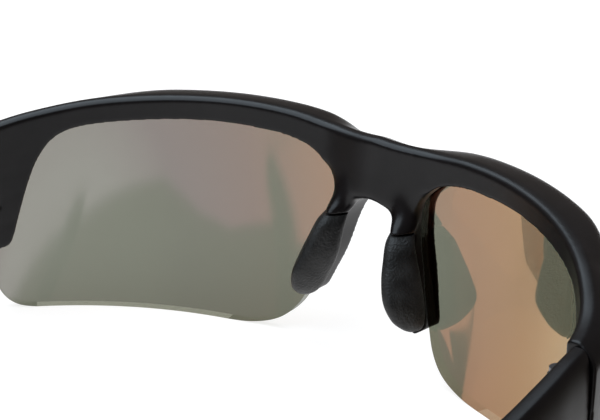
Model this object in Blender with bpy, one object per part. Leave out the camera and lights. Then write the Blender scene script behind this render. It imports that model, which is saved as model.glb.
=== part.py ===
"""Wraparound half-rim sport sunglasses, open and standing on lens edges and ear tips.

Frame: front of the glasses faces -Y, wearer's left is +X, +Z is up. The origin is on the
surface the glasses stand on, in the middle of their plan box.

The front is drawn flat, as outlines in (u, z), and then wrapped: u is the arc length sideways
from the bridge along the lenses' inner surface, z the height, and "out" the distance in front
of that surface. All driving dimensions are in millimetres and become metres in place().
"""

import math

import bmesh
import bpy
from mathutils import Matrix, Vector

# ---------------------------------------------------------------- driving dimensions (mm)

MM = 0.001
GAP = 0.3                       # clearance between neighbouring pieces
SNAP = 0.02                     # a cut this close to a mesh point goes through the point

DATUM_Y = -72.52                # the lenses' foremost inner line in the part's frame
DATUM_Z = 17.2                  # mid-height of the lenses above the table

# wrap surface: the lenses' inner face
WRAP_CENTRE_U = 9.1             # each lens is centred this far from the bridge
WRAP_RADIUS = 66.0              # 8-base curve
END_BEND_U = 70.0               # the end piece bends tighter from here
END_BEND_RADIUS = 30.0
HEIGHT_RADIUS = 119.0           # curvature of the lenses over their height
LEAN = -0.204                   # forward lean of the front per unit of height

LENS_THICK = 2.0
LENS_BOTTOM = -17.2

REAR_OUT = -2.9                 # rear face of the rim
BRIDGE_REAR_OUT = -4.1          # rear face at the middle of the bridge
BROW_OUT = 4.6                  # front face of the brow
RIM_OUT = 3.2                   # front face of side rim and nose arms
END_OUT = 2.2                   # front face of the end pieces
BROW_START = (6.0, 16.0)        # the brow swells over this stretch of u
BROW_FINISH = (44.0, 62.0)      # and thins again over this one
BROW_HEIGHTS = (14.0, 18.0)     # below these heights only the side rim's depth is left
END_START = (72.0, 84.0)        # the end piece thins over this stretch of u
BROW_FALL = 3.5                 # the brow reaches its full depth this far below the top
FALL_POWER = 1.8                # steepness of the front face's fall from the top edge
BROW_FALL_POWER = 5.0           # what the brow adds to it
CREST_DEPTH = 1.8               # the top edge is this far in front of the rear face
CREST_FLAT = 0.25
CHAMFER_HEIGHT = 0.6
FRONT_DEPTHS = (0.0, CHAMFER_HEIGHT, 1.6, BROW_FALL, 7.0, 12.0, 18.0, 25.0, 33.0)
BELOW = -40.0                   # the space cut away below the front reaches down to here
CUTTER_OUT = 12.0               # and this far behind and in front of the wrap surface
LENS_STEPS = (6.0, 8.0)         # mesh spacing of the lenses along u and z
CUTTER_STEPS = (5.0, 60.0)
BRIDGE_HALF = 12.0              # the bridge blends into the rim over this width

# outlines of the wearer's left half in (u, z)
TOP_LINE = ((0.0, 22.6), (6.0, 22.2), (12.0, 22.3), (20.0, 23.0), (30.0, 23.2), (40.0, 22.9),
            (50.0, 22.2), (60.0, 21.1), (70.0, 19.3), (79.0, 17.5), (92.0, 15.8))
SIDE_LINE = ((92.0, 1.6), (84.0, 0.8), (79.5, -1.2), (77.4, -3.8), (75.2, -5.0), (73.0, -4.8),
             (72.0, -4.2), (71.5, -2.6))
OPENING_LINE = ((70.9, 1.2), (69.8, 6.4), (68.1, 11.2), (65.0, 15.0), (59.5, 16.9),
                (48.0, 18.1), (37.0, 18.8), (27.0, 18.8), (19.5, 18.4), (14.2, 17.1),
                (11.2, 15.0), (9.4, 12.6), (9.0, 9.4), (9.6, 5.0), (10.9, 0.5), (12.1, -4.0),
                (13.2, -7.8))
ARCH_LINE = ((12.7, -8.7), (11.6, -8.2), (10.3, -5.0), (8.6, -0.6), (7.3, 4.2), (6.1, 7.4),
             (4.6, 9.7), (2.6, 10.9), (0.0, 11.4))
LENS_LINE = ((73.4, -2.0), (73.8, -8.0), (72.6, -12.6), (69.4, -15.9), (64.5, -17.2),
             (54.0, -17.2), (41.0, -17.2), (28.5, -17.2), (22.8, -16.6), (18.3, -14.9),
             (15.3, -12.0), (13.3, -8.0), (11.6, -3.4), (10.0, 1.0), (8.8, 6.0), (8.5, 11.0),
             (9.3, 15.0), (12.0, 18.1), (17.0, 20.0), (25.0, 20.8), (37.0, 20.9),
             (48.0, 20.1), (58.0, 18.3), (65.0, 16.0), (69.8, 12.0), (72.2, 5.0))

# joint and hinge
JOINT_Y = 35.5                  # rear end of the end pieces
HINGE_X = 62.9
HINGE_Y = 35.7
HINGE_Z = 7.0
KNUCKLE_RADIUS = 1.5
KNUCKLE_HEIGHT = 2.6
LEAF_INNER = 0.6                # inner face of the leaves, outside the hinge axis
LEAF_THICK = 1.0
LEAF_START = 1.9
FRONT, REAR = -1, 1             # the way a leaf runs from the hinge axis: front's or temple's
LEAF_END = {FRONT: 4.3, REAR: 8.0}
LEAF_SCREW_AT = {FRONT: 3.1, REAR: 5.4}
LEAF_SCREW_RISE = 2.3
LEAF_SCREW_RADIUS = 0.55
LEAF_SCREW_HEAD = 1.05
LEAF_SCREW_HEAD_THICK = 0.6
LEAF_SCREW_LENGTH = 2.5
HINGE_PIN_RADIUS = 0.6
HINGE_PIN_HEAD = 1.25
HINGE_PIN_HEAD_THICK = 0.8
SCREW_SIDES = 12
BORE_PAST = 1.0                 # a bore's tool reaches this far past the leaf
HEAD_BITE = 0.3                 # a shank reaches this far into its head
WEB_BITE = 0.6                  # a knuckle's web reaches this far into its leaf
SEAT_ABOVE = 1.6                # room over the leaves for the screw head
SEAT_PAST = 3.0                 # a seat reaches this far past the joint
INBOARD = 50.0                  # end pieces, temples and socks lie outboard of this x
CUT = 70.0                      # reach of the cutting boxes beyond what they cut

# temple stations: y, inner x, outer x, bottom z, top z
TEMPLE = ((35.9, 64.4, 68.7, 1.2, 16.5), (40.0, 65.0, 69.3, 1.5, 16.0),
          (46.0, 65.8, 70.1, 1.9, 15.0), (56.0, 66.8, 71.0, 2.3, 13.3),
          (70.0, 67.4, 71.5, 1.9, 11.2), (85.0, 67.2, 71.4, 0.3, 8.6),
          (97.0, 66.4, 70.7, -1.8, 6.2), (105.0, 65.5, 69.8, -3.5, 4.3))
SOCK = ((105.3, 65.3, 70.0, -3.9, 4.6), (113.0, 64.2, 69.0, -5.9, 2.6),
        (123.0, 62.6, 67.4, -9.0, -0.6), (133.0, 60.6, 65.3, -12.5, -4.2),
        (142.0, 58.7, 63.2, -15.7, -7.9), (148.0, 57.6, 61.7, -17.6, -10.7),
        (151.6, 57.4, 60.7, -17.8, -13.0))
WIRE_START = 92.0
WIRE_END = 144.0
WIRE_RADIUS = 0.8
WIRE_SPANS = 14
WIRE_SIDES = 10

# nose pads and the arms above them: height z, middle x, middle y, half depth, half thickness;
# the rings are wide in front and narrow at the rear
PAD = ((7.6, 7.3, 2.9, 2.0, 1.9), (6.0, 7.7, 4.1, 2.3, 2.4), (3.6, 8.3, 4.85, 2.8, 2.7),
       (0.6, 9.1, 5.65, 3.35, 3.0), (-2.6, 10.2, 6.25, 3.65, 2.9), (-5.6, 11.2, 6.0, 3.0, 2.4),
       (-7.4, 11.8, 5.3, 1.9, 1.6), (-8.2, 12.0, 4.9, 0.9, 0.8))
ARM = ((17.0, 6.0, -0.9, 1.4, 1.8), (14.0, 6.1, 0.3, 1.7, 1.9), (11.5, 6.35, 1.35, 1.9, 2.0),
       (9.5, 6.8, 2.15, 2.0, 2.0), (7.9, 7.2, 2.8, 2.0, 1.9))
PAD_TAPER = 0.5                 # the rings narrow towards the rear by this share
PAD_POWER = 0.65                # below 1 squares the rings' sides
TEMPLE_POWER = 3.2              # superellipse powers of the sections
SOCK_POWER = 2.6
SHARP_ANGLE = 35.0              # edges sharper than this many degrees stay sharp

# ---------------------------------------------------------------- the wrap


def smooth_line(points, steps, closed=False):
    """Catmull-Rom curve through the points."""
    count = len(points)
    spans = count if closed else count - 1
    result = []
    for i in range(spans):
        ring = [points[(i + k) % count] if closed else points[min(max(i + k, 0), count - 1)]
                for k in (-1, 0, 1, 2)]
        p0, p1, p2, p3 = (Vector(p) for p in ring)
        for step in range(steps):
            t = step / steps
            result.append(0.5 * (2 * p1 + (p2 - p0) * t + (2 * p0 - 5 * p1 + 4 * p2 - p3) * t * t
                                 + (3 * p1 - p0 - 3 * p2 + p3) * t ** 3))
    if not closed:
        result.append(Vector(points[-1]))
    return result


TOP_CURVE = smooth_line(TOP_LINE, 3)


def height_shift(z):
    """Depth of the wrap surface at height z."""
    return HEIGHT_RADIUS * (1 - math.sqrt(1 - (z / HEIGHT_RADIUS) ** 2)) + LEAN * z


def wrap(u, z, out):
    """Point (x, y, z) in front of the wrap surface by out, at arc length u and height z."""
    side = -1.0 if u < 0 else 1.0
    run = abs(u)
    if run < WRAP_CENTRE_U:
        x, y = run, -out
    elif run < END_BEND_U:
        angle = (run - WRAP_CENTRE_U) / WRAP_RADIUS
        reach = WRAP_RADIUS + out
        x = WRAP_CENTRE_U + reach * math.sin(angle)
        y = WRAP_RADIUS - reach * math.cos(angle)
    else:
        start = (END_BEND_U - WRAP_CENTRE_U) / WRAP_RADIUS
        shift = WRAP_RADIUS - END_BEND_RADIUS
        angle = start + (run - END_BEND_U) / END_BEND_RADIUS
        reach = END_BEND_RADIUS + out
        x = WRAP_CENTRE_U + shift * math.sin(start) + reach * math.sin(angle)
        y = WRAP_RADIUS - shift * math.cos(start) - reach * math.cos(angle)
    return side * x, y + height_shift(z), z


def place(x, y, z):
    """Design coordinates in mm to the part's frame in metres."""
    return Vector((x, y + DATUM_Y, z + DATUM_Z)) * MM


def blend(value, low, high):
    """Smooth step from 0 at low to 1 at high."""
    t = min(max((value - low) / (high - low), 0.0), 1.0)
    return t * t * (3 - 2 * t)


def rear_face(u):
    """Rear face of the rim at u: thicker at the bridge."""
    return BRIDGE_REAR_OUT + (REAR_OUT - BRIDGE_REAR_OUT) * blend(abs(u), 0.0, BRIDGE_HALF)


def rear_out(u, z):
    """Rear face of the frame, chamfered forward along the top edge."""
    below = max(top_height(u) - z, 0.0)
    return rear_face(u) + (CREST_DEPTH - CREST_FLAT) * max(1 - below / CHAMFER_HEIGHT, 0.0)


def front_out(u, z):
    """Front face of the frame: a brow over each lens, thinner side rims and end pieces."""
    brow = blend(abs(u), *BROW_START) * (1 - blend(abs(u), *BROW_FINISH))
    ends = blend(abs(u), *END_START)
    swell = (BROW_OUT - RIM_OUT) * brow * blend(z, *BROW_HEIGHTS)
    face = RIM_OUT + swell + (END_OUT - RIM_OUT) * ends
    below = min(max(top_height(u) - z, 0.0) / BROW_FALL, 1.0)
    steepness = FALL_POWER + BROW_FALL_POWER * brow
    crest = rear_face(u) + CREST_DEPTH + CREST_FLAT
    return crest + (face - crest) * (1 - (1 - below) ** steepness)


def top_height(u):
    """Height of the frame's top edge at u."""
    for a, b in zip(TOP_CURVE, TOP_CURVE[1:]):
        if abs(u) <= b.x:
            return a.y + (b.y - a.y) * (abs(u) - a.x) / (b.x - a.x)
    return TOP_CURVE[-1].y


# ---------------------------------------------------------------- shape tools


def grown(points, distance):
    """Closed clockwise or counter-clockwise outline moved outward by distance."""
    area = sum(a.x * b.y - b.x * a.y for a, b in zip(points, points[1:] + points[:1]))
    sign = 1.0 if area > 0 else -1.0
    result = []
    for i, point in enumerate(points):
        along = (points[(i + 1) % len(points)] - points[i - 1]).normalized()
        result.append(point + sign * distance * Vector((along.y, -along.x)))
    return result


def keep_object(name, bm, material):
    """New object from a bmesh, in the part's collection."""
    bmesh.ops.recalc_face_normals(bm, faces=bm.faces)
    if bm.calc_volume(signed=True) < 0:
        bmesh.ops.reverse_faces(bm, faces=bm.faces)
    mesh = bpy.data.meshes.new(name)
    bm.to_mesh(mesh)
    bm.free()
    obj = bpy.data.objects.new(name, mesh)
    parts.objects.link(obj)
    if material:
        mesh.materials.append(material)
    mesh.shade_smooth()
    mesh.set_sharp_from_angle(angle=math.radians(SHARP_ANGLE))
    return obj


def plate(outline, steps, rear, front):
    """Bmesh of a wrapped plate between out = rear and out = front, cut in steps along u and z."""
    bm = bmesh.new()
    bm.faces.new([bm.verts.new((p.x, p.y, 0.0)) for p in outline])
    bmesh.ops.triangulate(bm, faces=bm.faces[:])
    for axis in (0, 1):
        low, high = min(p[axis] for p in outline), max(p[axis] for p in outline)
        cuts = math.ceil((high - low) / steps[axis])
        normal = (1, 0, 0) if axis == 0 else (0, 1, 0)
        for i in range(1, cuts):
            point = [(low + (high - low) * i / cuts) * n for n in normal]
            geom = bm.verts[:] + bm.edges[:] + bm.faces[:]
            bmesh.ops.bisect_plane(bm, geom=geom, dist=SNAP, plane_no=normal, plane_co=point)
    rear_verts = bm.verts[:]
    copy = bmesh.ops.duplicate(bm, geom=bm.verts[:] + bm.edges[:] + bm.faces[:])
    partner = {vert: copy["vert_map"][vert] for vert in rear_verts}
    rim = [edge for edge in bm.edges if edge.is_boundary and edge.verts[0] in partner]
    for edge in rim:
        a, b = edge.verts
        bm.faces.new((a, b, partner[b], partner[a]))
    bmesh.ops.triangulate(bm, faces=bm.faces[:])
    for vert in rear_verts:
        u, z = vert.co.x, vert.co.y
        vert.co = place(*wrap(u, z, rear))
        partner[vert].co = place(*wrap(u, z, front))
    return bm


def loft(sections):
    """Bmesh of a closed solid through rings of points, capped at both ends."""
    bm = bmesh.new()
    rows = [[bm.verts.new(point) for point in section] for section in sections]
    count = len(rows[0])
    for a, b in zip(rows, rows[1:]):
        for i in range(count):
            bm.faces.new((a[i], a[(i + 1) % count], b[(i + 1) % count], b[i]))
    bm.faces.new(rows[0])
    bm.faces.new(rows[-1])
    bmesh.ops.triangulate(bm, faces=bm.faces[:])
    return bm


def rounded_section(y, inner, outer, low, high, power, count=20):
    """Ring in a plane across Y: a superellipse between the given sides."""
    ring = []
    for i in range(count):
        angle = 2 * math.pi * i / count
        c, s = math.cos(angle), math.sin(angle)
        x = (inner + outer) / 2 + (outer - inner) / 2 * math.copysign(abs(c) ** (2 / power), c)
        z = (low + high) / 2 + (high - low) / 2 * math.copysign(abs(s) ** (2 / power), s)
        ring.append(place(x, y, z))
    return ring


def stations(table, steps):
    """Smooth stations between the rows of a table."""
    rows = []
    count = len(table)
    for i in range(count - 1):
        rings = [table[min(max(i + k, 0), count - 1)] for k in (-1, 0, 1, 2)]
        for step in range(steps):
            t = step / steps
            rows.append([0.5 * (2 * b + (c - a) * t + (2 * a - 5 * b + 4 * c - d) * t * t
                                + (3 * b - a - 3 * c + d) * t ** 3)
                         for a, b, c, d in zip(*rings)])
    rows.append(list(table[-1]))
    return rows


def box(x0, x1, y0, y1, z0, z1):
    """Bmesh box between design coordinates."""
    bm = bmesh.new()
    bmesh.ops.create_cube(bm, size=1.0)
    low, high = place(x0, y0, z0), place(x1, y1, z1)
    for vert in bm.verts:
        vert.co = Vector(low[k] + (high[k] - low[k]) * (vert.co[k] + 0.5) for k in range(3))
    return bm


def rod(radius, start, end, segments=16):
    """Bmesh cylinder between two design points."""
    bm = bmesh.new()
    a, b = place(*start), place(*end)
    length = (b - a).length
    bmesh.ops.create_cone(bm, cap_ends=True, segments=segments, radius1=radius * MM,
                          radius2=radius * MM, depth=length)
    turn = (b - a).to_track_quat("Z", "Y").to_matrix().to_4x4()
    bmesh.ops.transform(bm, matrix=Matrix.Translation((a + b) / 2) @ turn, verts=bm.verts)
    return bm


def modify(obj, kind, tool_bm, name):
    """Add a Boolean modifier with its own hidden tool object."""
    tool = keep_object(name, tool_bm, None)
    parts.objects.unlink(tool)
    cutters.objects.link(tool)
    tool.hide_render = True
    tool.display_type = "WIRE"
    boolean = obj.modifiers.new(name, "BOOLEAN")
    boolean.operation = kind
    boolean.solver = "EXACT"
    boolean.object = tool


def mirrored(bm):
    """Copy of a left-hand bmesh for the right-hand side."""
    other = bm.copy()
    bmesh.ops.scale(other, vec=(-1, 1, 1), verts=other.verts)
    bmesh.ops.reverse_faces(other, faces=other.faces)
    return other


def both_sides(name, make, material):
    """Left and right objects from a function that makes the left one's bmesh."""
    pair = {}
    for side in ("left", "right"):
        bm = make() if side == "left" else mirrored(make())
        pair[side] = keep_object(f"{side}_{name}", bm, material)
    return pair


def modify_both(pair, kind, make, name):
    """The same Boolean on a left and a right object."""
    for side, obj in pair.items():
        bm = make() if side == "left" else mirrored(make())
        modify(obj, kind, bm, f"{side}_{name}")


# ---------------------------------------------------------------- scene and materials


def new_material(name, colour, roughness, metallic=0.0, alpha=1.0):
    material = bpy.data.materials.new(name)
    material.use_nodes = True
    shader = material.node_tree.nodes["Principled BSDF"]
    shader.inputs["Base Color"].default_value = (*colour, 1.0)
    shader.inputs["Roughness"].default_value = roughness
    shader.inputs["Metallic"].default_value = metallic
    shader.inputs["Alpha"].default_value = alpha
    return material


for old in list(bpy.data.objects):
    bpy.data.objects.remove(old, do_unlink=True)
parts = bpy.data.collections.new("sport_sunglasses")
cutters = bpy.data.collections.new("cutters")
bpy.context.scene.collection.children.link(parts)
bpy.context.scene.collection.children.link(cutters)

nylon = new_material("satin_black_nylon", (0.028, 0.030, 0.035), 0.45)
rubber = new_material("black_rubber", (0.035, 0.035, 0.036), 0.85)
lens_tint = new_material("tinted_polycarbonate", (0.16, 0.17, 0.13), 0.04, alpha=0.75)
steel = new_material("steel", (0.55, 0.55, 0.56), 0.3, metallic=1.0)

# ---------------------------------------------------------------- front frame and lenses


def front_ring(u):
    """Section of the front across the wrap at u, before anything is cut from it."""
    heights = [top_height(u) - depth for depth in FRONT_DEPTHS]
    rear = [place(*wrap(u, z, rear_out(u, z))) for z in heights]
    face = [place(*wrap(u, z, front_out(u, z))) for z in heights]
    return rear + face[::-1]


def make_front():
    """The front as one band from end piece to end piece, still without openings."""
    half = [p.x for p in TOP_CURVE]
    return loft([front_ring(u) for u in [-u for u in half[:0:-1]] + half])


def make_lower_space():
    """All that the front leaves free: lens openings, nose arch and the space below."""
    half = smooth_line(SIDE_LINE + OPENING_LINE + ARCH_LINE, 2)
    other = [Vector((-p.x, p.y)) for p in reversed(half[:-1])]
    reach = half[0].x + GAP
    corners = [Vector((side * reach, z)) for side, z in
               ((-1, half[0].y), (-1, BELOW), (1, BELOW), (1, half[0].y))]
    return plate(half + other + corners, CUTTER_STEPS, -CUTTER_OUT, CUTTER_OUT)


def lens_outline(growth=0.0):
    points = smooth_line(LENS_LINE, 2, closed=True)
    points = [Vector((p.x, max(p.y, LENS_BOTTOM))) for p in points]
    return grown(points, growth) if growth else points


def make_lens():
    return plate(lens_outline(), LENS_STEPS, 0.0, LENS_THICK)


def make_lens_space():
    """The groove's tool: the lens grown by the clearance."""
    return plate(lens_outline(GAP), LENS_STEPS, -GAP, LENS_THICK + GAP)


def make_joint_cut():
    """Squares off the end piece where the temple starts."""
    return box(INBOARD, INBOARD + CUT, JOINT_Y, JOINT_Y + CUT, -CUT, CUT)


front = keep_object("front_frame", make_front(), nylon)
modify(front, "DIFFERENCE", make_lower_space(), "lower_space")
front_pair = {"left": front, "right": front}
modify_both(front_pair, "DIFFERENCE", make_joint_cut, "joint_cut")
both_sides("lens", make_lens, lens_tint)

# ---------------------------------------------------------------- nose pads


def pad_ring(z, x, y, depth, thick, growth=0.0, count=18):
    ring = []
    for i in range(count):
        t = 2 * math.pi * i / count
        width = thick * (1 - PAD_TAPER * math.sin(t)) + growth
        ring.append(place(x + width * math.copysign(abs(math.cos(t)) ** PAD_POWER, math.cos(t)),
                          y + (depth + growth) * math.sin(t), z))
    return ring


def make_pad(growth=0.0):
    rows = stations(PAD, 2)
    return loft([pad_ring(*row, growth=growth) for row in rows])


def make_arm():
    return loft([pad_ring(*row) for row in stations(ARM, 2)])


both_sides("nose_pad", make_pad, rubber)
modify_both(front_pair, "UNION", make_arm, "arm")
modify_both(front_pair, "DIFFERENCE", lambda: make_pad(GAP), "pad_seat")
modify_both(front_pair, "DIFFERENCE", make_lens_space, "lens_groove")

# ---------------------------------------------------------------- temples


def make_temple():
    return loft([rounded_section(*row, TEMPLE_POWER) for row in stations(TEMPLE, 2)])


def make_sock():
    return loft([rounded_section(*row, SOCK_POWER) for row in stations(SOCK, 2)])


def wire_path(y):
    """Middle of the temple at y."""
    rows = TEMPLE[:-1] + SOCK[1:]
    for a, b in zip(rows, rows[1:]):
        if y <= b[0]:
            t = (y - a[0]) / (b[0] - a[0])
            return ((a[1] + a[2]) / 2 * (1 - t) + (b[1] + b[2]) / 2 * t, y,
                    (a[3] + a[4]) / 2 * (1 - t) + (b[3] + b[4]) / 2 * t)
    return None


def wire_points():
    """Smoothed middle line of the core wire."""
    count = WIRE_SPANS
    raw = [wire_path(WIRE_START + (WIRE_END - WIRE_START) * i / count) for i in range(count + 1)]
    return [[sum(raw[min(max(i + k, 0), count)][c] for k in (-1, 0, 1)) / 3 for c in range(3)]
            for i in range(count + 1)]


def make_wire(radius=WIRE_RADIUS, extra=0.0):
    """Round wire through temple and sock, longer by extra at both ends."""
    points = wire_points()
    points[0][1] -= extra
    points[-1][1] += extra
    turns = [2 * math.pi * i / WIRE_SIDES for i in range(WIRE_SIDES)]
    return loft([[place(x + radius * math.cos(turn), y, z + radius * math.sin(turn))
                  for turn in turns] for x, y, z in points])


def make_tip_cut():
    """Flattens the underside of the ear tip where it rests."""
    return box(INBOARD, INBOARD + CUT, WIRE_START, WIRE_START + CUT, LENS_BOTTOM - CUT, LENS_BOTTOM)


temples = both_sides("temple", make_temple, nylon)
socks = both_sides("ear_sock", make_sock, rubber)
both_sides("core_wire", make_wire, steel)
for pair in (temples, socks):
    modify_both(pair, "DIFFERENCE", lambda: make_wire(WIRE_RADIUS + GAP, GAP), "wire_bore")
modify_both(socks, "DIFFERENCE", make_tip_cut, "tip_flat")

# ---------------------------------------------------------------- hinges

HINGE_HALF = 1.5 * KNUCKLE_HEIGHT + GAP     # three knuckles and two gaps
LEAF_X = HINGE_X + LEAF_INNER


def knuckle(level):
    middle = HINGE_Z + level * (KNUCKLE_HEIGHT + GAP)
    half = KNUCKLE_HEIGHT / 2
    return rod(KNUCKLE_RADIUS, (HINGE_X, HINGE_Y, middle - half),
               (HINGE_X, HINGE_Y, middle + half))


def web(level, way):
    """Joins a knuckle to its leaf."""
    middle = HINGE_Z + level * (KNUCKLE_HEIGHT + GAP)
    half = KNUCKLE_HEIGHT / 2
    ends = sorted((HINGE_Y, HINGE_Y + way * (LEAF_START + WEB_BITE)))
    return box(LEAF_X, LEAF_X + LEAF_THICK, ends[0], ends[1], middle - half, middle + half)


def leaf_plate(way):
    ends = sorted((HINGE_Y + way * LEAF_START, HINGE_Y + way * LEAF_END[way]))
    return box(LEAF_X, LEAF_X + LEAF_THICK, ends[0], ends[1],
               HINGE_Z - HINGE_HALF, HINGE_Z + HINGE_HALF)


def make_leaf(name, way, levels):
    """One hinge leaf on each side: plate, knuckles, pin bore and two screw holes."""
    pair = both_sides(name, lambda: leaf_plate(way), steel)
    for number, level in enumerate(levels):
        modify_both(pair, "UNION", lambda level=level: web(level, way), f"{name}_web_{number}")
        modify_both(pair, "UNION", lambda level=level: knuckle(level), f"{name}_knuckle_{number}")
    modify_both(pair, "DIFFERENCE", lambda: pin_shank(HINGE_PIN_RADIUS + GAP, BORE_PAST),
                f"{name}_bore")
    for number, rise in enumerate((-LEAF_SCREW_RISE, LEAF_SCREW_RISE)):
        modify_both(pair, "DIFFERENCE", lambda rise=rise: screw_shank(way, rise, GAP),
                    f"{name}_hole_{number}")


def pin_shank(radius, extra=0.0):
    return rod(radius, (HINGE_X, HINGE_Y, HINGE_Z - HINGE_HALF - extra),
               (HINGE_X, HINGE_Y, HINGE_Z + HINGE_HALF + GAP + HEAD_BITE + extra), SCREW_SIDES)


def screw_shank(way, rise, growth=0.0):
    y, z = HINGE_Y + way * LEAF_SCREW_AT[way], HINGE_Z + rise
    start = LEAF_X - GAP - HEAD_BITE - growth
    end = LEAF_X + LEAF_SCREW_LENGTH + growth
    return rod(LEAF_SCREW_RADIUS + growth, (start, y, z), (end, y, z), SCREW_SIDES)


def screw_head(way, rise):
    y, z = HINGE_Y + way * LEAF_SCREW_AT[way], HINGE_Z + rise
    return rod(LEAF_SCREW_HEAD, (LEAF_X - GAP - LEAF_SCREW_HEAD_THICK, y, z),
               (LEAF_X - GAP, y, z))


def pin_head():
    low = HINGE_Z + HINGE_HALF + GAP
    high = low + HINGE_PIN_HEAD_THICK
    return rod(HINGE_PIN_HEAD, (HINGE_X, HINGE_Y, low), (HINGE_X, HINGE_Y, high))


make_leaf("front_hinge_leaf", FRONT, (-1, 1))
make_leaf("temple_hinge_leaf", REAR, (0,))
pins = both_sides("hinge_screw", lambda: pin_shank(HINGE_PIN_RADIUS), steel)
modify_both(pins, "UNION", pin_head, "pin_head")


def leaf_seat(way):
    """Pocket for a leaf in the inner face of the end piece or the temple."""
    ends = sorted((HINGE_Y + way * (LEAF_END[way] + GAP), HINGE_Y - way * SEAT_PAST))
    return box(INBOARD, LEAF_X + LEAF_THICK + GAP, ends[0], ends[1],
               HINGE_Z - HINGE_HALF - GAP, HINGE_Z + HINGE_HALF + SEAT_ABOVE)


for owner, way, target in (("front", FRONT, front_pair), ("temple", REAR, temples)):
    modify_both(target, "DIFFERENCE", lambda: leaf_seat(way), f"{owner}_seat")
    for number, rise in ((1, -LEAF_SCREW_RISE), (2, LEAF_SCREW_RISE)):
        label = f"{owner}_leaf_screw_{number}"
        screws = both_sides(label, lambda: screw_shank(way, rise), steel)
        modify_both(screws, "UNION", lambda: screw_head(way, rise), f"{label}_head")
        modify_both(target, "DIFFERENCE", lambda: screw_shank(way, rise, GAP), f"{label}_hole")
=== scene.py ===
"""Looks of the wraparound half-rim sport sunglasses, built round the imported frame.

The front, lenses, pads, temples and socks are fine meshes that stand for their CAD nodes; the
hinge parts are the CAD's own. Design coordinates are millimetres: u is the arc length sideways
from the bridge along the lenses' inner surface, z the height above mid-lens, and "out" the
distance in front of that surface. place() turns them into the frame's metres.
"""

import math
from bisect import bisect_right

import bmesh
import bpy
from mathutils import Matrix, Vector


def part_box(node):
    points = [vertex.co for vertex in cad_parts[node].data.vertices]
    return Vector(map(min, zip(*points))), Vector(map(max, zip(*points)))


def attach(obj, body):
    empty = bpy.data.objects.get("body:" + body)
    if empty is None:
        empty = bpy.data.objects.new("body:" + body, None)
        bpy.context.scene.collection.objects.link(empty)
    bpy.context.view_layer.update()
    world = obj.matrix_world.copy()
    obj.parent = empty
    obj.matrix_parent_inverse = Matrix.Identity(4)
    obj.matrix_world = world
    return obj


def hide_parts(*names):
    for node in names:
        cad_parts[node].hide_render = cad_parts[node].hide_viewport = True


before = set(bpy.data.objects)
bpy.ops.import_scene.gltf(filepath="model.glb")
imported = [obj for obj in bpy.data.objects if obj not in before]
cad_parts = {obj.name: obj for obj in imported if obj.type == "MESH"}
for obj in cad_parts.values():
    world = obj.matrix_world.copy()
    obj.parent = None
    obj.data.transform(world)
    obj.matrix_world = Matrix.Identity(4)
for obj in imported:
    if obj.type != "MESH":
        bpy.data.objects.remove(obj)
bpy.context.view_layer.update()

# ---------------------------------------------------------------- driving dimensions (mm)

MM = 0.001
GAP = 0.3                       # clearance between neighbouring pieces
SNAP = 0.005                    # a cut this close to a mesh point goes through the point
TINY = 0.01                     # step for slopes
SHARP_ANGLE = 40.0              # edges sharper than this many degrees stay sharp

# the frame's own places: lens bottoms stand at z 0, the hinge screws give the joint's place
LENS_BOTTOM = -17.2
JOINT_Y = 35.5                  # rear end of the end pieces
HINGE_Y = 35.7                  # axis of the hinge screws
pin_low, pin_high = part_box("left_hinge_screw")
DATUM_Y = (pin_low.y + pin_high.y) / 2 / MM - HINGE_Y
DATUM_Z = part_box("left_lens")[0].z / MM - LENS_BOTTOM

# wrap surface: the lenses' inner face
WRAP_CENTRE_U = 9.1             # each lens is centred this far from the bridge
WRAP_RADIUS = 66.0              # 8-base curve
END_BEND_U = 70.0               # the end piece bends tighter from here
END_BEND_RADIUS = 30.0
HEIGHT_RADIUS = 119.0           # curvature of the lenses over their height
LEAN = -0.204                   # forward lean of the front per unit of height
LENS_THICK = 2.0
LENS_STEPS = (1.5, 2.0)         # mesh spacing of the lenses along u and z
FACE_LIMIT = 0.7                # facets with a smaller cosine to the wrap's normal are the edge

# front frame section
REAR_OUT = -2.9                 # rear face of the rim
BRIDGE_REAR_OUT = -4.1          # rear face at the middle of the bridge
BRIDGE_HALF = 12.0              # the bridge blends into the rim over this width
BROW_OUT = 4.6                  # front face of the brow
RIM_OUT = 3.2                   # front face of side rim and nose arms
END_OUT = 2.2                   # front face of the end pieces
CREST_DEPTH = 1.8               # the top edge is this far in front of the rear face
CREST_FLAT = 0.25
CHAMFER_HEIGHT = 0.9
BROW_START = (6.0, 16.0)        # the brow swells over this stretch of u
BROW_FINISH = (44.0, 62.0)      # and thins again over this one
BROW_HEIGHTS = (14.0, 18.0)     # below these heights only the side rim's depth is left
END_START = (72.0, 84.0)        # the end piece thins over this stretch of u
BROW_FALL = 3.5                 # the brow reaches its full depth this far below the top
FALL_POWER = 1.8                # steepness of the front face's fall from the top edge
BROW_FALL_POWER = 5.0           # what the brow adds to it
# a section's points lie this far below the top edge, on both faces
FRONT_DEPTHS = (0.0, 0.06, 0.14, 0.24, 0.36, 0.5, 0.66, 0.84, 1.1, 1.4, 1.8, 2.3, 2.9, 3.6,
                5.0, 7.0, 10.0, 14.0, 19.0, 25.0, 33.0)
FRONT_STEP = 1.2                # spacing of the band's sections along u
BELOW = -40.0                   # the space cut away below the front reaches down to here
CUTTER_OUT = 12.0               # and this far behind and in front of the wrap surface
CUTTER_STEPS = (2.0, 60.0)
GROOVE_STEPS = (2.5, 4.0)
FRAME_VOXEL = 0.24
FRAME_SMOOTHING = 6

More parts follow.
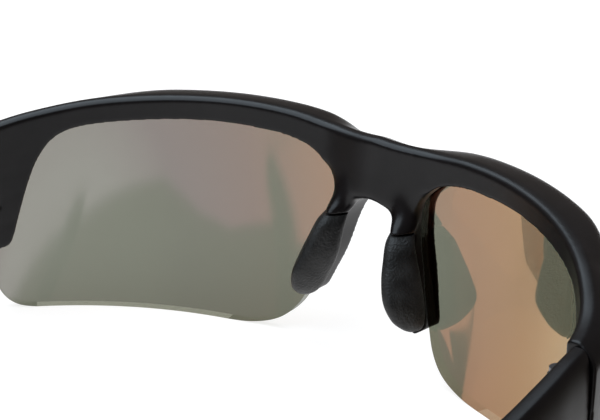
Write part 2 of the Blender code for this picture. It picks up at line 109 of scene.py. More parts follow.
# outlines of the wearer's left half in (u, z)
TOP_LINE = ((0.0, 22.6), (6.0, 22.2), (12.0, 22.3), (20.0, 23.0), (30.0, 23.2), (40.0, 22.9),
            (50.0, 22.2), (60.0, 21.1), (70.0, 19.3), (79.0, 17.5), (92.0, 15.8))
SIDE_LINE = ((92.0, 1.6), (84.0, 0.8), (79.5, -1.2), (77.4, -3.8), (75.2, -5.0), (73.0, -4.8),
             (72.0, -4.2), (71.5, -2.6))
OPENING_LINE = ((70.9, 1.2), (69.8, 6.4), (68.1, 11.2), (65.0, 15.0), (59.5, 16.9),
                (48.0, 18.1), (37.0, 18.8), (27.0, 18.8), (19.5, 18.4), (14.2, 17.1),
                (11.2, 15.0), (9.4, 12.6), (9.0, 9.4), (9.6, 5.0), (10.9, 0.5), (12.1, -4.0),
                (13.2, -7.8))
ARCH_LINE = ((12.7, -8.7), (11.6, -8.2), (10.3, -5.0), (8.6, -0.6), (7.3, 4.2), (6.1, 7.4),
             (4.6, 9.7), (2.6, 10.9), (0.0, 11.4))
LENS_LINE = ((73.4, -2.0), (73.8, -8.0), (72.6, -12.6), (69.4, -15.9), (64.5, -17.2),
             (54.0, -17.2), (41.0, -17.2), (28.5, -17.2), (22.8, -16.6), (18.3, -14.9),
             (15.3, -12.0), (13.3, -8.0), (11.6, -3.4), (10.0, 1.0), (8.8, 6.0), (8.5, 11.0),
             (9.3, 15.0), (12.0, 18.1), (17.0, 20.0), (25.0, 20.8), (37.0, 20.9),
             (48.0, 20.1), (58.0, 18.3), (65.0, 16.0), (69.8, 12.0), (72.2, 5.0))

# temple and sock stations: y, inner x, outer x, bottom z, top z
TEMPLE = ((35.9, 64.4, 68.7, 1.2, 16.5), (40.0, 65.0, 69.3, 1.5, 16.0),
          (46.0, 65.8, 70.1, 1.9, 15.0), (56.0, 66.8, 71.0, 2.3, 13.3),
          (70.0, 67.4, 71.5, 1.9, 11.2), (85.0, 67.2, 71.4, 0.3, 8.6),
          (97.0, 66.4, 70.7, -1.8, 6.2), (105.0, 65.5, 69.8, -3.5, 4.3))
SOCK = ((105.06, 65.3, 70.0, -3.9, 4.6), (113.0, 64.2, 69.0, -5.9, 2.6),
        (123.0, 62.6, 67.4, -9.0, -0.6), (133.0, 60.6, 65.3, -12.5, -4.2),
        (142.0, 58.7, 63.2, -15.7, -7.9), (148.0, 57.6, 61.7, -17.6, -10.7),
        (151.6, 57.4, 60.7, -17.8, -13.0))
TEMPLE_POWER = 3.2              # superellipse powers of the sections
SOCK_POWER = 2.6
TEMPLE_STEPS = 8                # sections for each row of either table
TEMPLE_SIDES = 72
TEMPLE_EDGE = 0.3
SOCK_EDGE = 0.4
WIRE_START = 92.0
WIRE_END = 144.0
WIRE_RADIUS = 0.8
WIRE_SPANS = 14
WIRE_SIDES = 24

# nose pads and the arms above them: height z, middle x, middle y, half depth, half thickness
PAD = ((7.6, 7.3, 2.9, 2.0, 1.9), (6.0, 7.7, 4.1, 2.3, 2.4), (3.6, 8.3, 4.85, 2.8, 2.7),
       (0.6, 9.1, 5.65, 3.35, 3.0), (-2.6, 10.2, 6.25, 3.65, 2.9), (-5.6, 11.2, 6.0, 3.0, 2.4),
       (-7.4, 11.8, 5.3, 1.9, 1.6), (-8.2, 12.0, 4.9, 0.9, 0.8))
ARM = ((17.0, 5.8, -1.6, 1.6, 3.6), (14.0, 6.0, -0.45, 1.9, 3.0), (11.5, 6.3, 0.35, 2.0, 2.6),
       (9.5, 6.8, 1.55, 2.0, 2.25), (7.9, 7.2, 2.8, 2.0, 1.9))
PAD_TAPER = 0.5                 # the rings narrow towards the rear by this share
PAD_POWER = 0.65                # below 1 squares the rings' sides
PAD_STEPS = 6
PAD_SIDES = 56
PAD_EDGE = 0.35
ARM_STEPS = 4

# where the nose arms' creases are softened: fading in and out over these z and x
BLEND_BOTTOM = (8.8, 10.5)
BLEND_TOP = (17.0, 19.0)
BLEND_SIDE = (9.5, 12.0)
BLEND_BEHIND = 1.0              # only further than this behind the wrap, clear of the lenses
BLEND_SMOOTHING = 110

# hinge pockets and cutting boxes
INBOARD = 50.0                  # end pieces, temples and socks lie outboard of this x
REACH = 70.0                    # reach of the cutting boxes beyond what they cut
SEAT_ABOVE = 1.6                # room over the leaves for the screw head
SEAT_PAST = 3.0                 # a seat reaches this far past the joint

# rounding of edges, where facets meet at more than this angle in degrees
EDGE_ANGLE = 50.0
CAD_EDGE_ANGLE = 40.0
CAD_EDGE = 0.09                 # width on the hinge parts and wires

# camera: place in design coordinates, angles in degrees, focal length
CAMERA_PLACE = (-235.3, 289.1, 158.9)
CAMERA_TURN = 41.18
CAMERA_DIP = 21.9
CAMERA_LENS = 140.4
CAMERA_NEAR = 0.01              # metres

# studio, in metres: the table's outline lets the lenses mirror the room past its edge
TABLE = ((-0.085, -1.5), (0.5, -1.5), (0.5, -0.06), (0.09, -0.06), (0.078, 0.0), (0.135, 0.07),
         (0.2, 0.11), (0.18, 0.29), (0.108, 0.28), (0.07, 0.8), (-0.010, 0.35), (-0.018, 0.125),
         (-0.085, 0.105))
TABLE_COLOUR = (0.40, 0.365, 0.345)
TABLE_GLOW = 0.75               # keeps the shadows on the table pale
TABLE_ROUGHNESS = 0.9
LIGHT_LOW = (-0.5, -1.0)        # corners of the soft light in plan
LIGHT_HIGH = (1.8, 1.8)
LIGHT_HEIGHT = 1.5
LIGHT_RADIANCE = 3.0
LIGHT_COLOUR = (0.76, 0.89, 1.0)
ROOM_COLOUR = (0.16, 0.14, 0.125)
BACKDROP_STRENGTH = 1.1
WHITE = (1.0, 1.0, 1.0)

# ---------------------------------------------------------------- the wrap


def catmull(p0, p1, p2, p3, t):
    """Point of a Catmull-Rom curve, at the share t of the way from p1 to p2."""
    return [0.5 * (2 * b + (c - a) * t + (2 * a - 5 * b + 4 * c - d) * t * t
                   + (3 * b - a - 3 * c + d) * t ** 3) for a, b, c, d in zip(p0, p1, p2, p3)]


def smooth_rows(rows, steps, closed=False):
    """Rows of a smooth curve through the given rows."""
    count = len(rows)
    result = []
    for i in range(count if closed else count - 1):
        ring = [rows[(i + k) % count] if closed else rows[min(max(i + k, 0), count - 1)]
                for k in (-1, 0, 1, 2)]
        result += [catmull(*ring, step / steps) for step in range(steps)]
    return result if closed else result + [list(rows[-1])]


def smooth_line(points, steps, closed=False):
    """Vectors of a smooth curve through the given points."""
    return [Vector(p) for p in smooth_rows(points, steps, closed)]


OUTLINE_STEPS = 8
TOP_CURVE = smooth_line(TOP_LINE, OUTLINE_STEPS)
TOP_PLACES = [p.x for p in TOP_CURVE]


def height_shift(z):
    """Depth of the wrap surface at height z."""
    return HEIGHT_RADIUS * (1 - math.sqrt(1 - (z / HEIGHT_RADIUS) ** 2)) + LEAN * z


def wrap(u, z, out):
    """Point (x, y, z) in front of the wrap surface by out, at arc length u and height z."""
    side = -1.0 if u < 0 else 1.0
    run = abs(u)
    if run < WRAP_CENTRE_U:
        x, y = run, -out
    elif run < END_BEND_U:
        angle = (run - WRAP_CENTRE_U) / WRAP_RADIUS
        reach = WRAP_RADIUS + out
        x = WRAP_CENTRE_U + reach * math.sin(angle)
        y = WRAP_RADIUS - reach * math.cos(angle)
    else:
        start = (END_BEND_U - WRAP_CENTRE_U) / WRAP_RADIUS
        shift = WRAP_RADIUS - END_BEND_RADIUS
        angle = start + (run - END_BEND_U) / END_BEND_RADIUS
        reach = END_BEND_RADIUS + out
        x = WRAP_CENTRE_U + shift * math.sin(start) + reach * math.sin(angle)
        y = WRAP_RADIUS - shift * math.cos(start) - reach * math.cos(angle)
    return side * x, y + height_shift(z), z


def place(x, y, z):
    """Design coordinates in mm to the frame's metres."""
    return Vector((x, y + DATUM_Y, z + DATUM_Z)) * MM


def ease(value, low, high):
    """Smooth step from 0 at low to 1 at high."""
    t = min(max((value - low) / (high - low), 0.0), 1.0)
    return t * t * (3 - 2 * t)


def top_height(u):
    """Height of the frame's top edge at u."""
    i = min(max(bisect_right(TOP_PLACES, abs(u)), 1), len(TOP_CURVE) - 1)
    a, b = TOP_CURVE[i - 1], TOP_CURVE[i]
    return a.y + (b.y - a.y) * min((abs(u) - a.x) / (b.x - a.x), 1.0)


def rear_face(u):
    """Rear face of the rim at u: thicker at the bridge."""
    return BRIDGE_REAR_OUT + (REAR_OUT - BRIDGE_REAR_OUT) * ease(abs(u), 0.0, BRIDGE_HALF)


def rear_out(u, z):
    """Rear face of the frame, rounded forward along the top edge."""
    above = 1 - min(max(top_height(u) - z, 0.0) / CHAMFER_HEIGHT, 1.0)
    return rear_face(u) + (CREST_DEPTH - CREST_FLAT) * (1 - math.sqrt(1 - above * above))


def front_out(u, z):
    """Front face of the frame: a brow over each lens, thinner side rims and end pieces."""
    brow = ease(abs(u), *BROW_START) * (1 - ease(abs(u), *BROW_FINISH))
    ends = ease(abs(u), *END_START)
    swell = (BROW_OUT - RIM_OUT) * brow * ease(z, *BROW_HEIGHTS)
    face = RIM_OUT + swell + (END_OUT - RIM_OUT) * ends
    below = min(max(top_height(u) - z, 0.0) / BROW_FALL, 1.0)
    crest = rear_face(u) + CREST_DEPTH + CREST_FLAT
    return crest + (face - crest) * (1 - (1 - below) ** (FALL_POWER + BROW_FALL_POWER * brow))


# ---------------------------------------------------------------- shape tools


def grown(points, distance):
    """Closed outline moved outward by distance."""
    area = sum(a.x * b.y - b.x * a.y for a, b in zip(points, points[1:] + points[:1]))
    sign = 1.0 if area > 0 else -1.0
    result = []
    for i, point in enumerate(points):
        along = (points[(i + 1) % len(points)] - points[i - 1]).normalized()
        result.append(point + sign * distance * Vector((along.y, -along.x)))
    return result


def new_object(name, bm, material=None, sharp=SHARP_ANGLE):
    """New smooth-shaded object from a bmesh; sharp is the least angle of a sharp edge, or 0."""
    bmesh.ops.recalc_face_normals(bm, faces=bm.faces)
    if bm.calc_volume(signed=True) < 0:
        bmesh.ops.reverse_faces(bm, faces=bm.faces)
    mesh = bpy.data.meshes.new(name)
    bm.to_mesh(mesh)
    bm.free()
    obj = bpy.data.objects.new(name, mesh)
    bpy.context.scene.collection.objects.link(obj)
    if material:
        mesh.materials.append(material)
    mesh.shade_smooth()
    if sharp:
        mesh.set_sharp_from_angle(angle=math.radians(sharp))
    return obj


def plate(outline, steps, rear, front):
    """Bmesh of a wrapped plate between out = rear and out = front, cut in steps along u and z.

    Each vertex keeps its arc length in the layer "u".
    """
    bm = bmesh.new()
    arc = bm.verts.layers.float.new("u")
    bm.faces.new([bm.verts.new((p.x, p.y, 0.0)) for p in outline])
    bmesh.ops.triangulate(bm, faces=bm.faces[:])
    for axis in (0, 1):
        low, high = min(p[axis] for p in outline), max(p[axis] for p in outline)
        cuts = math.ceil((high - low) / steps[axis])
        normal = (1, 0, 0) if axis == 0 else (0, 1, 0)
        for i in range(1, cuts):
            point = [(low + (high - low) * i / cuts) * n for n in normal]
            geom = bm.verts[:] + bm.edges[:] + bm.faces[:]
            bmesh.ops.bisect_plane(bm, geom=geom, dist=SNAP, plane_no=normal, plane_co=point)
    originals = bm.verts[:]
    copy = bmesh.ops.duplicate(bm, geom=bm.verts[:] + bm.edges[:] + bm.faces[:])
    partner = {vert: copy["vert_map"][vert] for vert in originals}
    for edge in [e for e in bm.edges if e.is_boundary and e.verts[0] in partner]:
        a, b = edge.verts
        bm.faces.new((a, b, partner[b], partner[a]))
    bmesh.ops.triangulate(bm, faces=bm.faces[:])
    for vert in originals:
        u, z = vert.co.x, vert.co.y
        vert[arc] = partner[vert][arc] = u
        vert.co = place(*wrap(u, z, rear))
        partner[vert].co = place(*wrap(u, z, front))
    return bm


def loft(sections):
    """Bmesh of a closed solid through rings of points, capped at both ends."""
    bm = bmesh.new()
    rows = [[bm.verts.new(point) for point in section] for section in sections]
    count = len(rows[0])
    for a, b in zip(rows, rows[1:]):
        for i in range(count):
            bm.faces.new((a[i], a[(i + 1) % count], b[(i + 1) % count], b[i]))
    bm.faces.new(rows[0])
    bm.faces.new(rows[-1])
    bmesh.ops.triangulate(bm, faces=bm.faces[-2:])
    return bm


def box(x0, x1, y0, y1, z0, z1):
    """Bmesh box between design coordinates."""
    bm = bmesh.new()
    bmesh.ops.create_cube(bm, size=1.0)
    low, high = place(x0, y0, z0), place(x1, y1, z1)
    for vert in bm.verts:
        vert.co = Vector(low[k] + (high[k] - low[k]) * (vert.co[k] + 0.5) for k in range(3))
    return bm


def mirrored(bm):
    """Copy of a left-hand bmesh for the right-hand side."""
    other = bm.copy()
    bmesh.ops.scale(other, vec=(-1, 1, 1), verts=other.verts)
    bmesh.ops.reverse_faces(other, faces=other.faces)
    return other


def for_side(side, bm):
    """The left-hand bmesh as the given side needs it."""
    return bm if side == "left" else mirrored(bm)


def apply_modifiers(obj):
    """Bake the modifiers into the mesh."""
    graph = bpy.context.evaluated_depsgraph_get()
    mesh = bpy.data.meshes.new_from_object(obj.evaluated_get(graph))
    obj.modifiers.clear()
    obj.data = mesh


def combine(obj, kind, tool_bm):
    """Bake one exact Boolean with a throw-away tool."""
    tool = new_object("tool", tool_bm)
    boolean = obj.modifiers.new("cut", "BOOLEAN")
    boolean.operation = kind
    boolean.solver = "EXACT"
    boolean.object = tool
    apply_modifiers(obj)
    bpy.data.objects.remove(tool, do_unlink=True)


def soft_edges(obj, width, segments=3, angle=EDGE_ANGLE):
    """Round the object's edges with a bevel modifier."""
    bevel = obj.modifiers.new("round", "BEVEL")
    bevel.width = width * MM
    bevel.segments = segments
    bevel.angle_limit = math.radians(angle)


# ---------------------------------------------------------------- materials


class Nodes:
    """A material's node tree with short calls to add and join nodes."""

    def __init__(self, name):
        self.material = bpy.data.materials.new(name)
        self.material.use_nodes = True
        self.tree = self.material.node_tree
        self.shader = self.tree.nodes["Principled BSDF"]
        self.output = self.tree.nodes["Material Output"]

    def add(self, kind):
        return self.tree.nodes.new(kind)

    def join(self, source, target):
        self.tree.links.new(source, target)

    def noise(self, scale, detail=2.0, stretch=(1, 1, 1)):
        """Noise in object coordinates; scale is in features per metre."""
        coordinates = self.add("ShaderNodeTexCoord")
        mapping = self.add("ShaderNodeMapping")
        mapping.inputs["Scale"].default_value = stretch
        self.join(coordinates.outputs["Object"], mapping.inputs["Vector"])
        noise = self.add("ShaderNodeTexNoise")
        noise.inputs["Scale"].default_value = scale
        noise.inputs["Detail"].default_value = detail
        self.join(mapping.outputs["Vector"], noise.inputs["Vector"])
        return noise.outputs["Fac"]

    def ramp(self, fac, stops):
        """A colour that runs through the stops with fac."""
        node = self.add("ShaderNodeValToRGB")
        elements = node.color_ramp.elements
        while len(elements) < len(stops):
            elements.new(1.0)
        for element, (spot, colour) in zip(elements, stops):
            element.position = spot
            element.color = (*colour, 1.0)
        self.join(fac, node.inputs["Fac"])
        return node.outputs["Color"]

    def span(self, fac, low, high):
        """A number that runs from low to high with fac."""
        node = self.add("ShaderNodeMapRange")
        node.inputs["To Min"].default_value = low
        node.inputs["To Max"].default_value = high
        self.join(fac, node.inputs["Value"])
        return node.outputs["Result"]

    def bump(self, height, distance):
        """Bump of the given depth, in metres."""
        node = self.add("ShaderNodeBump")
        node.inputs["Strength"].default_value = 1.0
        node.inputs["Distance"].default_value = distance
        self.join(height, node.inputs["Height"])
        self.join(node.outputs["Normal"], self.shader.inputs["Normal"])


# noise scales in features per metre, depth in metres
MOTTLE_SCALE = 260.0
MOTTLE_SPAN = (0.35, 0.65)      # noise values where the mottle is fully dark and fully light
GLOSS_SCALE = 900.0
MARK_SCALE = 2500.0
MARK_SPAN = (0.3, 0.7)
MARK_STRETCH = (1.0, 1.0, 0.15)
MARK_DEPTH = 0.000004
MARK_SHADE = 0.8                # colour in the marks, as a share of the steel's own


def moulded(name, dark, light, roughness, grain, depth, specular):
    """Moulded plastic or rubber: mottled colour, varied roughness and a grain of the given scale."""
    nodes = Nodes(name)
    mottle = nodes.ramp(nodes.noise(MOTTLE_SCALE, 3.0), tuple(zip(MOTTLE_SPAN, (dark, light))))
    nodes.join(mottle, nodes.shader.inputs["Base Color"])
    nodes.join(nodes.span(nodes.noise(GLOSS_SCALE), *roughness), nodes.shader.inputs["Roughness"])
    nodes.shader.inputs["Specular IOR Level"].default_value = specular
    nodes.bump(nodes.noise(grain, 1.0), depth)
    return nodes.material


def metal(name, colour, roughness):
    """Steel with fine drawn marks."""
    nodes = Nodes(name)
    marks = nodes.noise(MARK_SCALE, 4.0, MARK_STRETCH)
    shade = [c * MARK_SHADE for c in colour]
    stops = tuple(zip(MARK_SPAN, (shade, colour)))
    nodes.join(nodes.ramp(marks, stops), nodes.shader.inputs["Base Color"])
    nodes.join(nodes.span(marks, *roughness), nodes.shader.inputs["Roughness"])
    nodes.shader.inputs["Metallic"].default_value = 1.0
    nodes.bump(marks, MARK_DEPTH)
    return nodes.material


def coated_face(name, passed, coating, share, roughness):
    """A lens face: see-through tint and a mirror share, each with colours that turn with the angle."""
    nodes = Nodes(name)
    facing = nodes.add("ShaderNodeLayerWeight")
    facing.inputs["Blend"].default_value = 0.5
    angle = facing.outputs["Facing"]
    clear = nodes.add("ShaderNodeBsdfTransparent")
    nodes.join(nodes.ramp(angle, passed), clear.inputs["Color"])
    gloss = nodes.add("ShaderNodeBsdfGlossy")
    gloss.inputs["Roughness"].default_value = roughness
    nodes.join(nodes.ramp(angle, coating), gloss.inputs["Color"])
    mix = nodes.add("ShaderNodeMixShader")
    mix.inputs["Fac"].default_value = share
    nodes.join(clear.outputs[0], mix.inputs[1])
    nodes.join(gloss.outputs[0], mix.inputs[2])
    nodes.join(mix.outputs[0], nodes.output.inputs["Surface"])
    nodes.tree.nodes.remove(nodes.shader)
    return nodes.material


nylon = moulded("satin_black_nylon", dark=(0.003, 0.0024, 0.003), light=(0.005, 0.004, 0.0048),
                roughness=(0.26, 0.33), grain=9000.0, depth=0.000004, specular=0.28)
rubber = moulded("soft_pad_rubber", dark=(0.003, 0.003, 0.003), light=(0.018, 0.018, 0.018),
                 roughness=(0.42, 0.6), grain=2400.0, depth=0.00013, specular=0.35)
sock_rubber = moulded("sock_rubber", dark=(0.016, 0.016, 0.017), light=(0.024, 0.024, 0.025),
                      roughness=(0.5, 0.62), grain=5200.0, depth=0.00002, specular=0.4)
steel = metal("hinge_steel", (0.17, 0.165, 0.17), roughness=(0.28, 0.45))
wire_steel = metal("core_steel", (0.45, 0.44, 0.43), roughness=(0.3, 0.5))

# lens colours against the angle of view: 0 looks straight at the face, 1 along it
COATING = ((0.0, (0.27, 0.23, 0.26)), (0.035, (0.24, 0.20, 0.23)), (0.06, (0.15, 0.06, 0.12)),
           (0.12, (0.20, 0.06, 0.09)), (0.18, (0.30, 0.10, 0.08)), (0.3, (0.50, 0.18, 0.09)),
           (0.45, (0.70, 0.34, 0.16)), (0.6, (0.98, 0.60, 0.33)), (0.9, (1.0, 0.9, 0.65)))
TINT = ((0.0, (0.51, 0.53, 0.43)), (0.2, (0.47, 0.49, 0.39)), (0.3, (0.43, 0.44, 0.34)),
        (0.5, (0.26, 0.28, 0.21)), (0.9, (0.2, 0.22, 0.16)))
OUTER_TINT = ((0.0, (0.9, 0.92, 0.9)), (0.9, (0.85, 0.87, 0.83)))
EDGE_TINT = ((0.0, (0.62, 0.65, 0.6)), (0.9, (0.5, 0.52, 0.48)))
EDGE_GLOSS = ((0.0, (0.3, 0.3, 0.3)), (0.9, WHITE))

# the left inner face is the less glossy one, which softens what it mirrors
lens_inner = {
    "left": coated_face("left_lens_inner_face", TINT, COATING, share=0.36, roughness=0.075),
    "right": coated_face("right_lens_inner_face", TINT, COATING, share=0.36, roughness=0.03),
}
lens_outer = coated_face("lens_outer_face", OUTER_TINT, COATING, share=0.42, roughness=0.0)
lens_edge = coated_face("lens_edge", EDGE_TINT, EDGE_GLOSS, share=0.12, roughness=0.1)

# ---------------------------------------------------------------- front frame


def front_ring(u):
    """Section of the front across the wrap at u, before anything is cut from it."""
    heights = [top_height(u) - depth for depth in FRONT_DEPTHS]
    rear = [place(*wrap(u, z, rear_out(u, z))) for z in heights]
    face = [place(*wrap(u, z, front_out(u, z))) for z in heights]
    return rear + face[::-1]


def front_band():
    """The front as one band from end piece to end piece, still without openings."""
    reach = TOP_PLACES[-1]
    count = math.ceil(2 * reach / FRONT_STEP)
    bm = loft([front_ring(reach * (2 * i / count - 1)) for i in range(count + 1)])
    bmesh.ops.triangulate(bm, faces=bm.faces[:])
    return bm


def lower_space():
    """All that the front leaves free: lens openings, nose arch and the space below."""
    half = smooth_line(SIDE_LINE + OPENING_LINE + ARCH_LINE, OUTLINE_STEPS)
    other = [Vector((-p.x, p.y)) for p in reversed(half[:-1])]
    reach = half[0].x + GAP
    corners = [Vector((side * reach, z)) for side, z in
               ((-1, half[0].y), (-1, BELOW), (1, BELOW), (1, half[0].y))]
    return plate(half + other + corners, CUTTER_STEPS, -CUTTER_OUT, CUTTER_OUT)


def lens_outline(growth=0.0):
    """The lens's outline with its straight lower edge, moved outward by growth."""
    points = smooth_line(LENS_LINE, OUTLINE_STEPS, closed=True)
    points = [Vector((p.x, max(p.y, LENS_BOTTOM))) for p in points]
    return grown(points, growth) if growth else points


def pad_ring(z, x, y, depth, thick, growth=0.0):
    """Ring of a pad or nose arm at height z, wide in front and narrow at the rear."""
    ring = []
    for i in range(PAD_SIDES):
        t = 2 * math.pi * i / PAD_SIDES
        width = thick * (1 - PAD_TAPER * math.sin(t)) + growth
        ring.append(place(x + width * math.copysign(abs(math.cos(t)) ** PAD_POWER, math.cos(t)),
                          y + (depth + growth) * math.sin(t), z))
    return ring


def pad_solid(growth=0.0):
    return loft([pad_ring(*row, growth=growth) for row in smooth_rows(PAD, PAD_STEPS)])


def arm_solid():
    return loft([pad_ring(*row) for row in smooth_rows(ARM, ARM_STEPS)])


def hinge_seat(way):
    """Pocket for a hinge leaf: in the end piece's inner face for way -1, in the temple's for 1."""
    low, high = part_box("left_front_hinge_leaf" if way < 0 else "left_temple_hinge_leaf")
    far = (low.y if way < 0 else high.y) / MM - DATUM_Y + way * GAP
    ends = sorted((far, HINGE_Y - way * SEAT_PAST))
    return box(INBOARD, high.x / MM + GAP, *ends, low.z / MM - DATUM_Z - GAP,
               high.z / MM - DATUM_Z + SEAT_ABOVE)


def blend_arms(front):
    """Soften the creases where the nose arms grow out of the bridge."""
    group = front.vertex_groups.new(name="arm_blend")
    for vert in front.data.vertices:
        x, y, z = abs(vert.co.x) / MM, vert.co.y / MM - DATUM_Y, vert.co.z / MM - DATUM_Z
        weight = ease(z, *BLEND_BOTTOM) * (1 - ease(z, *BLEND_TOP)) * (1 - ease(x, *BLEND_SIDE))
        if y > height_shift(z) + BLEND_BEHIND and weight > 0.0:
            group.add([vert.index], weight, "REPLACE")
    smooth = front.modifiers.new("arm_smooth", "SMOOTH")
    smooth.iterations = BLEND_SMOOTHING
    smooth.vertex_group = group.name
    apply_modifiers(front)


def make_front():
    """The nylon front: band, openings, nose arms, pad seats, lens grooves and joint ends."""
    front = new_object("front_shell", front_band(), nylon)
    combine(front, "DIFFERENCE", lower_space())
    for side in ("left", "right"):
        combine(front, "UNION", for_side(side, arm_solid()))
        combine(front, "DIFFERENCE", for_side(side, pad_solid(GAP)))
        groove = plate(lens_outline(GAP), GROOVE_STEPS, -GAP, LENS_THICK + GAP)
        combine(front, "DIFFERENCE", for_side(side, groove))
        ends = box(INBOARD, INBOARD + REACH, JOINT_Y, JOINT_Y + REACH, -REACH, REACH)
        combine(front, "DIFFERENCE", for_side(side, ends))
        combine(front, "DIFFERENCE", for_side(side, hinge_seat(-1)))
    remesh = front.modifiers.new("remesh", "REMESH")
    remesh.mode = "VOXEL"
    remesh.voxel_size = FRAME_VOXEL * MM
    remesh.use_smooth_shade = True
    smooth = front.modifiers.new("smooth", "SMOOTH")
    smooth.iterations = FRAME_SMOOTHING
    apply_modifiers(front)
    blend_arms(front)
    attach(front, "front")
    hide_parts("front_frame")


make_front()

# ---------------------------------------------------------------- lenses


def wrap_normal(u, z):
    """Unit normal of the wrap surface, pointing to the front."""
    across = Vector(wrap(u + TINY, z, 0.0)) - Vector(wrap(u - TINY, z, 0.0))
    rising = Vector(wrap(u, z + TINY, 0.0)) - Vector(wrap(u, z - TINY, 0.0))
    return across.cross(rising).normalized()


def make_lens(side):
    """One moulded lens: inner face, coated outer face and polished edge, with exact normals."""
    bm = for_side(side, plate(lens_outline(), LENS_STEPS, 0.0, LENS_THICK))
    lens = new_object(f"{side}_lens_blank", bm, lens_inner[side], 0.0)
    lens.data.materials.append(lens_outer)
    lens.data.materials.append(lens_edge)
    turn = -1.0 if side == "right" else 1.0
    heights = [vert.co.z / MM - DATUM_Z for vert in lens.data.vertices]
    true_normals = [wrap_normal(turn * spot.value, z)
                    for spot, z in zip(lens.data.attributes["u"].data, heights)]
    normals = [face.normal.copy() for face in lens.data.polygons for _ in face.vertices]
    for face in lens.data.polygons:
        facing = face.normal.dot(true_normals[face.vertices[0]])
        face.material_index = 0 if facing < -FACE_LIMIT else 1 if facing > FACE_LIMIT else 2
        if face.material_index < 2:
            for loop in face.loop_indices:
                vert = lens.data.loops[loop].vertex_index
                normals[loop] = true_normals[vert] * math.copysign(1.0, facing)
    lens.data.normals_split_custom_set(normals)
    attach(lens, "front")
    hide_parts(f"{side}_lens")


for lens_side in ("left", "right"):
    make_lens(lens_side)

# ---------------------------------------------------------------- nose pads


def make_pad(side):
    """Soft rubber pad with rounded edges."""
    pad = new_object(f"{side}_pad_rubber", for_side(side, pad_solid()), rubber)
    soft_edges(pad, PAD_EDGE)
    apply_modifiers(pad)
    pad.data.shade_smooth()
    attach(pad, "front")
    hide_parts(f"{side}_nose_pad")


for pad_side in ("left", "right"):
    make_pad(pad_side)

# ---------------------------------------------------------------- temples and socks


def rounded_section(y, inner, outer, low, high, power):
    """Ring in a plane across Y: a superellipse between the given sides."""
    ring = []
    for i in range(TEMPLE_SIDES):
        angle = 2 * math.pi * i / TEMPLE_SIDES
        c, s = math.cos(angle), math.sin(angle)
        x = (inner + outer) / 2 + (outer - inner) / 2 * math.copysign(abs(c) ** (2 / power), c)
        z = (low + high) / 2 + (high - low) / 2 * math.copysign(abs(s) ** (2 / power), s)
        ring.append(place(x, y, z))
    return ring


def wire_path(y):
    """Middle of the temple at y."""
    rows = TEMPLE[:-1] + SOCK[1:]
    a, b = next((a, b) for a, b in zip(rows, rows[1:]) if y <= b[0])
    t = (y - a[0]) / (b[0] - a[0])
    return ((a[1] + a[2]) / 2 * (1 - t) + (b[1] + b[2]) / 2 * t, y,
            (a[3] + a[4]) / 2 * (1 - t) + (b[3] + b[4]) / 2 * t)


def wire_bore():
    """The round space for the core wire, with its clearance all round."""
    count = WIRE_SPANS
    raw = [wire_path(WIRE_START + (WIRE_END - WIRE_START) * i / count) for i in range(count + 1)]
    middles = [[sum(raw[min(max(i + k, 0), count)][c] for k in (-1, 0, 1)) / 3 for c in range(3)]
               for i in range(count + 1)]
    middles[0][1] -= GAP
    middles[-1][1] += GAP
    radius = WIRE_RADIUS + GAP
    turns = [2 * math.pi * i / WIRE_SIDES for i in range(WIRE_SIDES)]
    return loft([[place(x + radius * math.cos(turn), y, z + radius * math.sin(turn))
                  for turn in turns] for x, y, z in middles])


def rounded_bar(rows, power):
    """Closed solid through the smooth stations of a temple or sock."""
    return loft([rounded_section(*row, power) for row in smooth_rows(rows, TEMPLE_STEPS)])


def make_temple(side):
    """Moulded temple with the wire's bore and the hinge leaf's pocket."""
    bar = for_side(side, rounded_bar(TEMPLE, TEMPLE_POWER))
    temple = new_object(f"{side}_temple_arm", bar, nylon)
    combine(temple, "DIFFERENCE", for_side(side, wire_bore()))
    combine(temple, "DIFFERENCE", for_side(side, hinge_seat(1)))
    soft_edges(temple, TEMPLE_EDGE)
    apply_modifiers(temple)
    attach(temple, f"{side}_temple_body")
    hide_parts(f"{side}_temple")


def make_sock(side):
    """Rubber ear sock with the wire's bore and a flat under the tip where it rests."""
    bar = for_side(side, rounded_bar(SOCK, SOCK_POWER))
    sock = new_object(f"{side}_sock_rubber", bar, sock_rubber)
    combine(sock, "DIFFERENCE", for_side(side, wire_bore()))
    under = box(INBOARD, INBOARD + REACH, WIRE_START, WIRE_START + REACH,
                LENS_BOTTOM - REACH, LENS_BOTTOM)
    combine(sock, "DIFFERENCE", for_side(side, under))
    soft_edges(sock, SOCK_EDGE)
    apply_modifiers(sock)
    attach(sock, f"{side}_temple_body")
    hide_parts(f"{side}_ear_sock")


for temple_side in ("left", "right"):
    make_temple(temple_side)
    make_sock(temple_side)

# ---------------------------------------------------------------- hinge parts stay as CAD


def finish_cad_node(name, material):
    """Give a CAD node its finish and broken edges."""
    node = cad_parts[name]
    node.data.materials.clear()
    node.data.materials.append(material)
    soft_edges(node, CAD_EDGE, segments=2, angle=CAD_EDGE_ANGLE)


for node_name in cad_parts:
    if "hinge" in node_name or "leaf" in node_name:
        finish_cad_node(node_name, steel)
    elif "wire" in node_name:
        finish_cad_node(node_name, wire_steel)

# ---------------------------------------------------------------- studio


def make_floor():
    """The pale matt table top that the glasses stand on."""
    nodes = Nodes("pale_floor")
    settings = {"Base Color": (*TABLE_COLOUR, 1.0), "Emission Color": (*WHITE, 1.0),
                "Emission Strength": TABLE_GLOW, "Roughness": TABLE_ROUGHNESS,
                "Specular IOR Level": 0.0}
    for socket, value in settings.items():
        nodes.shader.inputs[socket].default_value = value
    bm = bmesh.new()
    bm.faces.new([bm.verts.new((x, y, 0.0)) for x, y in TABLE])
    floor = new_object("floor", bm, nodes.material, 0.0)


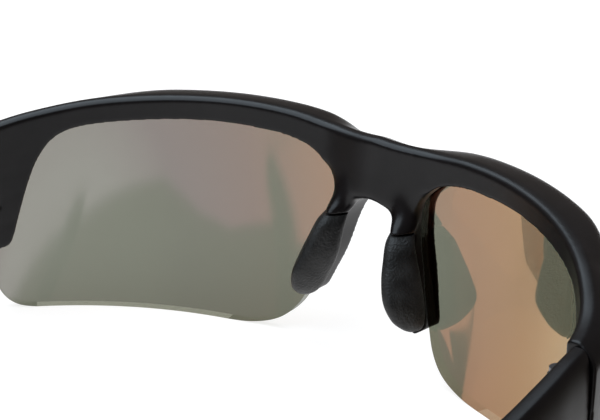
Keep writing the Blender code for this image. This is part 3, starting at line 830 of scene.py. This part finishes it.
def make_light():
    """One soft light that faces down, more on the wearer's left."""
    light = bpy.data.lights.new("overhead", "AREA")
    light.shape = "RECTANGLE"
    light.size, light.size_y = [high - low for low, high in zip(LIGHT_LOW, LIGHT_HIGH)]
    light.energy = LIGHT_RADIANCE * math.pi * light.size * light.size_y
    light.color = LIGHT_COLOUR
    obj = bpy.data.objects.new("overhead", light)
    obj.location = (*[(low + high) / 2 for low, high in zip(LIGHT_LOW, LIGHT_HIGH)], LIGHT_HEIGHT)
    bpy.context.scene.collection.objects.link(obj)


def make_world():
    """White to the camera; a dim room to everything else."""
    world = bpy.data.worlds.new("studio")
    world.use_nodes = True
    bpy.context.scene.world = world
    tree = world.node_tree
    room = tree.nodes["Background"]
    room.inputs["Color"].default_value = (*ROOM_COLOUR, 1.0)
    white = tree.nodes.new("ShaderNodeBackground")
    white.inputs["Color"].default_value = (*WHITE, 1.0)
    white.inputs["Strength"].default_value = BACKDROP_STRENGTH
    path = tree.nodes.new("ShaderNodeLightPath")
    mix = tree.nodes.new("ShaderNodeMixShader")
    tree.links.new(path.outputs["Is Camera Ray"], mix.inputs["Fac"])
    tree.links.new(room.outputs[0], mix.inputs[1])
    tree.links.new(white.outputs[0], mix.inputs[2])
    tree.links.new(mix.outputs[0], tree.nodes["World Output"].inputs["Surface"])


def make_camera():
    """The camera, behind and above the glasses on the wearer's right."""
    camera = bpy.data.cameras.new("camera")
    obj = bpy.data.objects.new("camera", camera)
    bpy.context.scene.collection.objects.link(obj)
    turn, dip = math.radians(CAMERA_TURN), math.radians(CAMERA_DIP)
    look = Vector((math.sin(turn) * math.cos(dip), -math.cos(turn) * math.cos(dip), -math.sin(dip)))
    obj.location = place(*CAMERA_PLACE)
    obj.rotation_euler = look.to_track_quat("-Z", "Y").to_euler()
    camera.lens = CAMERA_LENS
    camera.clip_start = CAMERA_NEAR
    bpy.context.scene.camera = obj


make_floor()
make_world()
make_camera()
make_light()
bpy.context.scene.view_settings.view_transform = "Standard"
